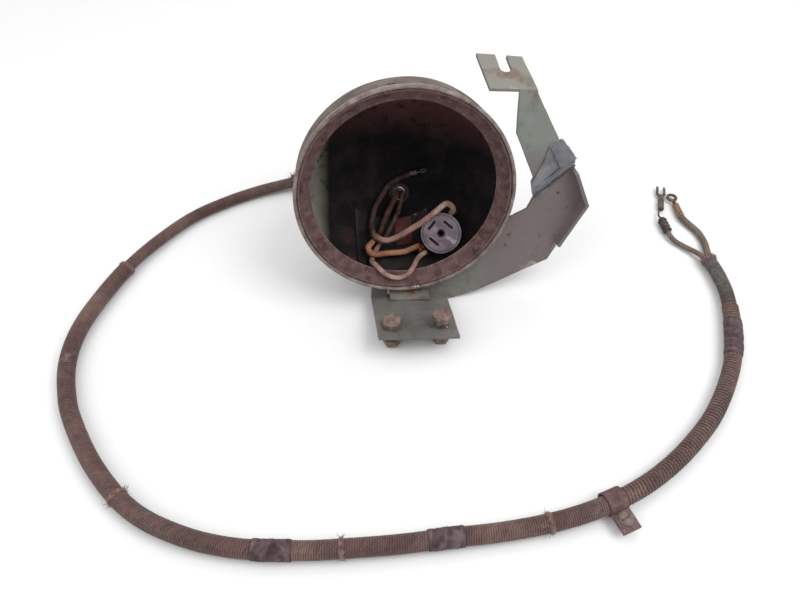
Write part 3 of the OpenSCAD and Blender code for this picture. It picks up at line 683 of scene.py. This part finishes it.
# ---------------------------------------------------------------- leads inside the drum
UPPER = [
    (5.1, 77.6, -35.2), (4.8, 74.2, -33.8), (3, 69, -35.5), (-1, 64.8, -42), (-5.6, 60.5, -50.5),
    (-11.5, 51.2, -60.2), (-18.6, 39.5, -61.8), (-22, 31.5, -61.2), (-19.4, 26.3, -63.6),
    (-13, 27.6, -65), (-6.6, 30.1, -65.6), (6.9, 32, -65.5), (14.5, 33.4, -63.2), (20.2, 32.2, -59.5),
]
LOWER = [
    (9.7, 77.6, -35.2), (9.5, 74.2, -33.8), (8.4, 69, -36), (6.2, 65, -43.5), (2, 60.8, -52.5),
    (-4.5, 52, -60.5), (-11.8, 42, -65), (-17, 33, -68.2), (-19, 26, -68.8), (-20, 18, -66.3),
    (-18.3, 10.5, -63.8), (-14.8, 4.8, -65), (-9.3, 2.7, -69), (-1.9, 2.2, -71.3), (5.3, 2.9, -69.7),
    (11, 6.5, -65.2), (15, 13.6, -62.2), (19, 20.5, -62.3), (24.3, 26.2, -62.4),
]
GROUND = [
    (44, 38.2, -33.8), (44.8, 36.5, -28), (38.4, 34, -22.8), (29.6, 30.4, -28.3), (20.7, 30, -36.2),
    (11.8, 32, -44.4), (2, 35, -53), (-6.5, 37, -57.6), (-13.7, 40.4, -56.8), (-16.9, 47.5, -55.8),
    (-17.4, 56.5, -52.6), (-14, 67, -45.2), (-9.2, 74.2, -38.8), (-1.6, 79.4, -29),
    (8.6, 81.8, -22.8), (15.6, 81.4, -19.3),
]


def braided(name, route, r, skin, node, matrix=ROW, pitch=2.6, strands=5):
    """A braided lead on a route, and its centreline in the row frame, in metres."""
    l, _ = spline(route, 0.42)
    v, f, h = swept(l, lambda i: r, 30, braid(pitch, strands, 0.3))
    o = piece(name, v, f, skin, matrix=matrix, weave=h)
    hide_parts(node)
    path = [matrix @ (p * MM) for p in l[::6] + [l[-1]]]
    long = sum((b - a).length for a, b in zip(l, l[1:])) * MM
    return o, path, long


upper, upper_path, upper_long = braided("upper_lead_braid", UPPER, 2.4, orange, "upper_lead", POSE)
lower, lower_path, lower_long = braided("lower_lead_braid", LOWER, 2.0, pink, "lower_lead", POSE)
ground, ground_path, ground_long = braided("ground_lead_braid", GROUND, 2.4, pink, "ground_lead", POSE)
THIN = [(222.9, 13.8, 6.6), (222.3, 16.8, 6), (218.8, 23, 4.2), (211.5, 30.5, 3), (205, 37, 3.2),
        (202, 42, 4.2), (201.4, 46.5, 4.2)]
THICK = [(228.1, 14.8, 6.6), (227.6, 17.8, 6.2), (228.8, 24, 4.6), (230.2, 35, 3), (228, 47, 3),
         (222.5, 57, 3), (218.2, 65, 3.2), (217.7, 69.5, 3.2)]
WIRE = [(199.2, 62.6, 4.2), (198.2, 67, 3.6), (199.4, 72, 3), (202.4, 76, 2.7)]
thin, thin_path, thin_long = braided("thin_lead_braid", THIN, 2.2, dark_braid, "thin_lead", pitch=2.4)
thick, thick_path, thick_long = braided("thick_lead_braid", THICK, 2.8, grey_braid, "thick_lead", pitch=3)

# ---------------------------------------------------------------- lamp housing
DRUM_R, WALL = 79.5, 1.2
DOME_Y, DOME_A, DOME_B = 36, 54, 71.74


def dome(t, d):
    t = math.radians(t)
    return ((DOME_B - d) * math.cos(t), DOME_Y + (DOME_A - d) * math.sin(t))


FROM = math.degrees(math.asin(10 / 54))


def outline(d):
    pts = [(DRUM_R - d, 2.25), (DRUM_R - d, 8), (DRUM_R - d, 15), (DRUM_R - d, 20.5),
           (DRUM_R - 0.3 - d, 23.5)]
    pts += [(77.5 - d, 29), (74.2 - d, 37), (71.6 - d, 43.5)]
    pts += [dome(FROM + (90 - FROM) * i / 26, d) for i in range(1, 26)]
    return pts + [(0.0, DOME_Y + DOME_A - d)]


v, f = lathe(outline(0) + outline(WALL)[::-1], 180, 0.35)
shell = piece("housing_shell_sheet", v, f, shell_paint, matrix=POSE)
b = bmesh.new()
b.from_mesh(shell.data)
bmesh.ops.remove_doubles(b, verts=b.verts, dist=1e-6)
b.to_mesh(shell.data)
b.free()
turn, dip = math.radians(12), math.radians(58)
ring_r, ring_y = dome(58, 0)
exit_at = Vector((ring_r * math.sin(turn), ring_y, -ring_r * math.cos(turn)))
slope = Vector((math.cos(dip) / DOME_B, math.sin(dip) / DOME_A)).normalized()
exit_dir = Vector((slope.x * math.sin(turn), slope.y, -slope.x * math.cos(turn)))
cut(shell, *rod(exit_at - exit_dir * 6, exit_at + exit_dir * 6, 7.4, 48))
cut(shell, *block((-17.5, 8, 70), (-12, 10.5, 84)))
recalc(shell, 40)
# Inner faces take the interior material, with its painted shade and painted light.
shell.data.materials.append(inside_shade_and_light)
for face in shell.data.polygons:
    c = face.center / MM
    if face.normal.dot(Vector((c.x, (c.y - 30) if c.y > 30 else 0, c.z))) < -0.3:
        face.material_index = 1
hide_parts("housing_shell")

# Rolled rim: bead, its lap, and the short skirt behind it.
bead = [(79.75 + 1.35 * math.cos(math.radians(a)),
         1.5 * math.sin(math.radians(a)) - 0.4) for a in range(-180, 180, 20)]
v, f = lathe(bead, 220, 0.3, 4)
v = [p + Vector((0, 0, 0)) for p in v]
v2, f2 = lathe([(79.6, 0.6), (80.5, 0.8), (80.65, 1.6), (80.6, 3.6), (80.3, 4), (79.6, 4)], 220, 0.12, 4)
f += [tuple(i + len(v) for i in q) for q in f2]
rim = piece("front_rim_bead", v + v2, f, taupe, matrix=POSE)
recalc(rim, 50)
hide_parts("front_rim")

v, f = lathe([(78.3, 1.1), (78.0, 0.2), (77.4, -0.1), (76.7, 0.2), (75.9, 1.7), (72.5, 4.6),
              (69.9, 6.7), (68.9, 7.2), (68.5, 7.6), (68.5, 8.5), (69.2, 8.4), (72.7, 6.0), (76.0, 3.2),
              (78.2, 3.0)], 220, 0.3, 9)
seat = piece("lamp_seat_dished", v, f, seat_metal, matrix=POSE)
c, s = math.cos(math.radians(4)), math.sin(math.radians(4))
vv, ff = block((-70, 2, -2.5), (-64, 16, 2.5))
cut(seat, [(x * c + z * s, y, z * c - x * s) for x, y, z in vv], ff)
recalc(seat, 55)
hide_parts("lamp_seat_ring")
# Weld blob on the rim's lower right.
blob = []
for k in range(3):
    a = math.radians(8 + 1.5 * k)
    at = Vector((78.4 * math.sin(a), -1.4, -78.4 * math.cos(a)))
    l = [at + Vector((0, 0.5 * j, 0)) for j in range(-2, 3)]
    blob.append(swept(l, lambda i: (0.3, 0.8, 1.0, 0.9, 0.5)[i], 10))
v, f, h = join(blob)
piece("rim_weld", v, f, taupe, matrix=POSE)

softened(["saddle_plate"], "saddle_plate_sheet", saddle_shade_skin, width=0.3, dent=0.25, size=6)
softened(["housing_foot"], "housing_foot_bent", foot_paint, width=0.5, dent=0.2, size=4)
softened(["foot_rivets"], "foot_rivet_heads", rusty, width=0.3)
softened(["red_tape"], "red_tape_strip", red, width=0.15, dent=0.3, size=2.5)
softened(["cable_grommet"], "cable_grommet_rubber", black, width=0.3, segments=3)


# ---------------------------------------------------------------- bracket
def bends(b):
    """The bracket's own bends: base plate to arm, and arm to flanges."""
    back = POSE.inverted()
    plate, flange = [], []
    for e in b.edges:
        p, q = (back @ v.co / MM for v in e.verts)
        if (p - q).length < 3:
            continue
        if abs(p.y - 7.5) < 0.05 and abs(q.y - 7.5) < 0.05:
            if abs(p.z + 92.5) < 0.05 and abs(q.z + 92.5) < 0.05:
                plate.append(e)
            elif min(p.x, q.x) > 121 and max(p.z, q.z) < 24 and min(p.z, q.z) > -41 and (p - q).length > 20:
                flange.append(e)
    return [(2.2 * MM, plate + flange)]


softened(["mounting_bracket"], "mounting_bracket_sheet", bracket_paint, width=0.4, dent=0.35,
                   size=5, big=bends)

# Cloth tape round the arm: a wrinkled sleeve, a folded flap and the rolled lower edge, two of whose rolls are
# dark with painted shade along the creases.
tape = softened(["arm_tape"], "arm_tape_cloth", cloth, width=0.35, size=1.6)
back = POSE.inverted()
for vert in tape.data.vertices:
    p = back @ vert.co / MM
    along = (p.x * 0.83 + p.z * 0.56)
    across = (-p.x * 0.56 + p.z * 0.83)
    d = (0.45 * math.sin(across * 0.55 + 1.4 * noise.noise(p * 0.09))
         * noise.noise(p * 0.05 + Vector((3, 0, 0))))
    d += 0.35 * noise.noise(Vector((along * 0.06, across * 0.45, 0)))
    face = -1 if p.y < 6.25 else 1
    vert.co += (POSE.to_3x3() @ Vector((0, face, 0))) * (d * 1.1) * MM
recalc(tape, 60)


def ribbon(name, edge_a, edge_b, y, thick, skin, amount, seed):
    """A strip of cloth between two edges on the arm's front, crumpled, with thickness."""
    n, m = 40, 14
    verts, faces = [], []
    for side in (0, 1):
        for j in range(m):
            for i in range(n):
                u, w = i / (n - 1), j / (m - 1)
                a = Vector(edge_a[0]).lerp(Vector(edge_a[1]), u)
                b_ = Vector(edge_b[0]).lerp(Vector(edge_b[1]), u)
                p = a.lerp(b_, w)
                curl = math.sin(math.pi * w)
                lift = noise.noise(Vector((p.x * 0.13, p.y * 0.13, seed))) * amount + curl * amount
                fray_ = noise.noise(Vector((p.x * 0.4, p.y * 0.4, seed + 5))) * 0.5
                verts.append(Vector((p.x + fray_, y - lift - (0 if side else thick), p.y + fray_)))
    k = n * m
    for j in range(m - 1):
        for i in range(n - 1):
            q = (j * n + i, j * n + i + 1, (j + 1) * n + i + 1, (j + 1) * n + i)
            faces += [q, tuple(x + k for x in q[::-1])]
    for i in range(n - 1):
        faces += [(i, i + k, i + 1 + k, i + 1),
                  ((m - 1) * n + i + 1, (m - 1) * n + i + 1 + k, (m - 1) * n + i + k, (m - 1) * n + i)]
    for j in range(m - 1):
        faces += [((j + 1) * n, (j + 1) * n + k, j * n + k, j * n),
                  (j * n + n - 1, j * n + n - 1 + k, (j + 1) * n + n - 1 + k, (j + 1) * n + n - 1)]
    o = piece(name, verts, faces, skin, matrix=POSE)
    recalc(o, 60)
    return o


ribbon("arm_tape_flap", ((103.5, 36.5), (112, 42.5)), ((112.5, 22.5), (124.2, 29.5)), 3.7, 0.5, cloth,
              1.5, 1.0)
for k, (a, b_, r) in enumerate((((97.4, -1.2), (124.0, 24.4), 1.3), ((98.4, 2.9), (123.2, 27.6), 0.9),
                                ((97.2, 6.4), (113.5, 22.0), 0.55))):
    pts = [Vector((a[0], 3.5, a[1])).lerp(Vector((b_[0], 3.5, b_[1])), t / 12) for t in range(13)]
    pts = [p + Vector((0, noise.noise(p * 0.15) * 0.5, noise.noise(p * 0.2) * 0.7)) for p in pts]
    l, _ = spline(pts, 0.5)
    v, f, h = swept(l, lambda i, r=r: r * (0.8 + 0.35 * noise.noise(Vector((i * 0.07, r, 0)))), 12,
                    lambda i, a, gone: (0.5 + 0.5 * math.cos(2 * a + gone * 0.7), 0.25))
    piece("arm_tape_roll_%d" % k, v, f, cloth if k == 1 else cloth_crease_shade, matrix=POSE)


# ---------------------------------------------------------------- bolts and nuts
def hex_radius(a, af):
    a = (a + math.pi / 6) % (math.pi / 3) - math.pi / 6
    return af / 2 / math.cos(a)


def hex_body(at, af, h, bore=0.0, both=False, seed=0.0, turn=0.0):
    """A forged hexagon with chamfered corners, dented a little, and a bore if it is a nut."""
    n = 96
    zs = [0, 0.12, 0.5, 1.0, 1.8, h / 2, h - 1.8, h - 1.3, h - 0.9, h - 0.5, h - 0.2, h]
    verts, faces = [], []
    for z in zs:
        for k in range(n):
            a = 2 * math.pi * k / n
            r = hex_radius(a + turn + math.pi / 6, af)
            r = min(r, af / 2 * 1.08 + (h - z) * 1.1)
            if both:
                r = min(r, af / 2 * 1.08 + z * 1.1)
            r += 0.06 * noise.noise(Vector((math.cos(a) * 2, math.sin(a) * 2, z * 0.5 + seed))) - 0.04
            verts.append(Vector(at) + Vector((r * math.cos(a), r * math.sin(a), z)))
    rows = len(zs)
    for j in range(rows - 1):
        for k in range(n):
            m = (k + 1) % n
            faces.append((j * n + k, j * n + m, (j + 1) * n + m, (j + 1) * n + k))
    if bore:
        for z in (h, h - 0.6, 0.6, 0):
            extra = 0.45 if z in (0, h) else 0.0
            for k in range(n):
                a = 2 * math.pi * k / n
                verts.append(Vector(at) + Vector(((bore + extra) * math.cos(a), (bore + extra) * math.sin(a),
                                                  z)))
        for j in range(rows - 1, rows + 3):
            for k in range(n):
                m = (k + 1) % n
                faces.append((j * n + k, j * n + m, (j + 1) * n + m, (j + 1) * n + k))
        for k in range(n):
            m = (k + 1) % n
            faces.append(((rows + 3) * n + k, (rows + 3) * n + m, m, k))
    else:
        c = len(verts)
        verts.append(Vector(at) + Vector((0, 0, h + 0.12)))
        top = (rows - 1) * n
        faces += [(top + k, top + (k + 1) % n, c) for k in range(n)]
        faces.append(tuple(range(n))[::-1])
    return verts, faces, [0.6] * len(verts)


def threaded(at, r, length):
    """A shank below the head with a rolled thread on its lower part."""
    n = 40
    steps = int(length / 0.16)
    l = [Vector(at) - Vector((0, 0, length * i / steps)) for i in range(steps + 1)]

    def relief(i, a, gone):
        depth = 0.5 if gone > length * 0.3 and i < steps - 3 else 0.0
        return abs(((gone / 1.41 + a / (2 * math.pi)) % 1.0) * 2 - 1), depth
    return swept(l, lambda i: r - (0.4 if i >= steps - 1 else 0), n, relief)


def low(node):
    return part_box(node)


for side, body in (("left", "left_bolt_set"), ("right", "right_bolt_set")):
    lo, hi = low(side + "_bolt")
    axis = (Vector(lo) + Vector(hi)) / 2 / MM
    top = hi[2] / MM
    seat_z = top - 5.4
    shank = seat_z - lo[2] / MM
    head = hex_body((axis.x, axis.y, seat_z), 12.7, 5.3, seed=1.0 if side == "left" else 6.0)
    v, f, h = join([head, threaded((axis.x, axis.y, seat_z + 0.2), 3.95, shank + 0.2)])
    o = piece(side + "_bolt_hex", v, f, rusty, body=body)
    recalc(o, 30)
    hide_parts(side + "_bolt")
    lo, hi = low(side + "_nut")
    v, f, h = hex_body((axis.x, axis.y, lo[2] / MM), 12.7, (hi[2] - lo[2]) / MM, bore=4.03, both=True,
                       seed=3.0 if side == "left" else 9.0)
    o = piece(side + "_nut_hex", v, f, rusty, body=body)
    recalc(o, 30)
    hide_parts(side + "_nut")

# ---------------------------------------------------------------- plug
plug = softened(["plug_body"], "plug_body_moulded", plug_skin, width=0.35, segments=3)
softened(["plug_contacts"], "plug_contact_strips", brass, width=0.08)
softened(["plug_eyelet"], "plug_eyelet_tube", eyelet, width=0.25)
PLUG = (POSE @ Matrix.Translation(Vector((34.8, 25, -44.4)) * MM)
        @ Matrix.Rotation(math.radians(-103.5), 4, "Z") @ Matrix.Rotation(math.radians(61.5), 4, "Y")
        @ Matrix.Rotation(math.radians(-33), 4, "Z"))


def welt(points, r):
    l, _ = spline(points, 0.5)
    return swept(l, lambda i: r, 8)


# Moulded lines on the plug's face: one inside its edge, and a low border round each slot.
v, f, h = welt([(14.4 * math.cos(math.radians(a)), 14.4 * math.sin(math.radians(a)),
                 -0.1) for a in range(0, 361, 15)], 0.3)
rim_line = piece("plug_rim_line", v, f, eyelet, matrix=PLUG)
parts = [welt([(4.6 * math.cos(math.radians(a)), 4.6 * math.sin(math.radians(a)),
                0.0) for a in range(0, 361, 20)], 0.3)]
for x, y, upright in ((8.7, 0, True), (-8.7, 0, True), (0, -9.7, False)):
    w, l_ = (1.7, 5.2) if upright else (5.2, 1.7)
    parts.append(welt([(x - w, y - l_, 0), (x + w, y - l_, 0), (x + w, y + l_, 0), (x - w, y + l_, 0),
                       (x - w, y - l_, 0)], 0.22))
v, f, h = join(parts)
plug_edge = material("plug_edges", [(0.20, 0.16, 0.18), (0.30, 0.26, 0.28)], 300, (0.4, 0.6), 0.3)
lines = piece("plug_face_lines", v, f, plug_edge, matrix=PLUG)

# Loose strands: copper where the upper lead enters the plug, pale fibres where the ground lead does.
g = random.Random(14)
v, f, h = join([strand(g, Vector((20.2, 32.2, -59.5)) + Vector([g.uniform(-1.2, 1.2) for _ in range(3)]),
                       Vector((0.3, -0.9, -0.5)), g.uniform(4, 8), 0.28, 0.5) for _ in range(16)])
copper_wires = piece("copper_strands", v, f, copper, matrix=POSE)
v, f, h = join([strand(g, Vector((44.2, 38, -33)) + Vector([g.uniform(-1.5, 1.5) for _ in range(3)]),
                       Vector((0.5, -0.8, 0.6)), g.uniform(3, 6), 0.2, 0.5) for _ in range(14)])
pale_wires = piece("pale_strands", v, f, pale_fibre, matrix=POSE)

# ---------------------------------------------------------------- pipe clip and terminals
clip = softened(["pipe_clip"], "pipe_clip_band", clip_metal, width=0.3, dent=0.12, size=3)
lo, hi = low("clip_screw")
at = (Vector(lo) + Vector(hi)) / 2 / MM
under = hi[2] / MM - 2.72
dome_rows = [(5.0, 0.55), (5.15, 0.9), (5.1, 1.5), (4.7, 2.2), (3.9, 2.75), (2.6, 3.1), (1.2, 3.25),
             (0.05, 3.3)]
v, f, h = swept([Vector((at.x, at.y, under + z)) for r, z in dome_rows], lambda i: dome_rows[i][0], 48)
v2, f2, h2 = threaded((at.x, at.y, under + 0.3), 2.35, under + 0.3 - lo[2] / MM)
screw = piece("clip_screw_head", v, f, screw_metal)
SLOT = math.atan2(16, 28)
vv, ff = block((-7, -0.75, under + 1.7), (7, 0.75, under + 5))
cut(screw,
    [(at.x + x * math.cos(SLOT) - y * math.sin(SLOT), at.y + x * math.sin(SLOT) + y * math.cos(SLOT), z)
            for x, y, z in vv], ff)
recalc(screw, 35)
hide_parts("clip_screw")
shank = piece("clip_screw_thread", v2, f2, screw_metal)
v, f, h = swept([Vector((at.x, at.y, under)), Vector((at.x, at.y, under + 0.15)),
                 Vector((at.x, at.y, under + 0.55)), Vector((at.x, at.y, under + 0.65))],
                lambda i: (6.1, 6.3, 6.25, 6.0)[i], 44)
washer = piece("clip_washer", v, f, clip_metal)
recalc(washer, 40)
clip_hex = softened(["clip_nut"], "clip_nut_hex", screw_metal, width=0.3)

# Ribbed boot with turned folds.
a, b_ = Vector((201.4, 46.5, 4.2)), Vector((199.2, 62.6, 4.2))
n = 90
pts = [a.lerp(b_, 0.02 + 0.96 * i / n) for i in range(n + 1)]
v, f, h = swept(pts, lambda i: 3.2 + 0.85 * max(0.0, math.sin(2 * math.pi * (i / n) * 4.0 - 0.7)) ** 0.6
                - (0.8 if i in (0, n) else 0), 28,
                lambda i, a,
                gone: (0.5 + 0.5 * noise.noise(Vector((gone * 0.5, math.cos(a) * 2, math.sin(a) * 2))), 0.35))
boot = piece("terminal_boot_ribbed", v, f, boot_skin)
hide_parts("terminal_boot")
wire_line, _ = spline(WIRE, 0.4)
v, f, h = join([swept([p + Vector((0.45 * math.cos(k * 2.1 + i * 0.12), 0.2 * math.sin(k * 2.1),
                                   0.45 * math.sin(k * 2.1 + i * 0.12)))
                       for i, p in enumerate(wire_line)], lambda i: 0.45, 8) for k in range(3)])
wire = piece("bare_wire_strands", v, f, tin)
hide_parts("bare_wire")
spade = softened(["spade_terminal"], "spade_terminal_blade", tin, width=0.2, segments=2)
ringlug = softened(["ring_terminal"], "ring_terminal_lug", lug_metal, width=0.2, segments=2)
lug = softened(["ground_terminal"], "ground_terminal_lug", tin, width=0.2)
g = random.Random(40)
v, f, h = join([strand(g, Vector((217.7, 69.2, 3.2))
                       + Vector([g.uniform(-1.8, 1.8), g.uniform(-3, 1.5), g.uniform(-1, 2)]),
                       Vector((g.uniform(-1, 1), g.uniform(-0.6, 0.6), g.uniform(0, 1))), g.uniform(3, 5.5),
                       0.24, 0.5)
                for _ in range(30)])
lead_fray = piece("thick_lead_fray", v, f, pale_fibre)

# ---------------------------------------------------------------- floor and lights
floor_mesh = bpy.data.meshes.new("floor")
floor_mesh.from_pydata([(-6, -6, -0.0006), (6, -6, -0.0006), (6, 6, -0.0006), (-6, 6, -0.0006)], [],
                       [(0, 1, 2, 3)])
floor = bpy.data.objects.new("floor", floor_mesh)
scene.collection.objects.link(floor)
floor_mesh.materials.append(material("pale_floor", [(0.90, 0.90, 0.90), (0.92, 0.92, 0.92)], 3, (0.9, 0.95),
                                     0.02))

world = bpy.data.worlds.new("studio")
scene.world = world
world.use_nodes = True
world.node_tree.nodes["Background"].inputs[0].default_value = (1, 1, 1, 1)
world.node_tree.nodes["Background"].inputs[1].default_value = 0.7


def lamp(name, at, to, size, power):
    light = bpy.data.lights.new(name, "AREA")
    light.energy, light.size = power, size
    o = bpy.data.objects.new(name, light)
    o.location = at
    o.rotation_euler = (Vector(to) - Vector(at)).to_track_quat("-Z", "Y").to_euler()
    scene.collection.objects.link(o)


lamp("key", (0.75, -0.35, 1.35), (0, 0, 0.05), 0.9, 14)
lamp("fill", (-0.9, -0.5, 1.2), (0, 0, 0.05), 1.2, 7)
lamp("top", (0, 0.7, 1.5), (0, 0, 0), 1.4, 8)
scene.view_settings.view_transform = "Standard"

# Each piece keeps the coordinates it was drawn in for its material, and its mesh goes to the row frame.
for o in list(scene.objects):
    if o.type != "MESH" or "drawn" in o.data.attributes or o.name in NODES:
        continue
    co = [x for v in o.data.vertices for x in v.co]
    o.data.attributes.new("drawn", "FLOAT_VECTOR", "POINT").data.foreach_set("vector", co)
    here = o.matrix_world.copy()
    o.data.transform(here)
    o.matrix_world = ROW

bpy.context.view_layer.update()
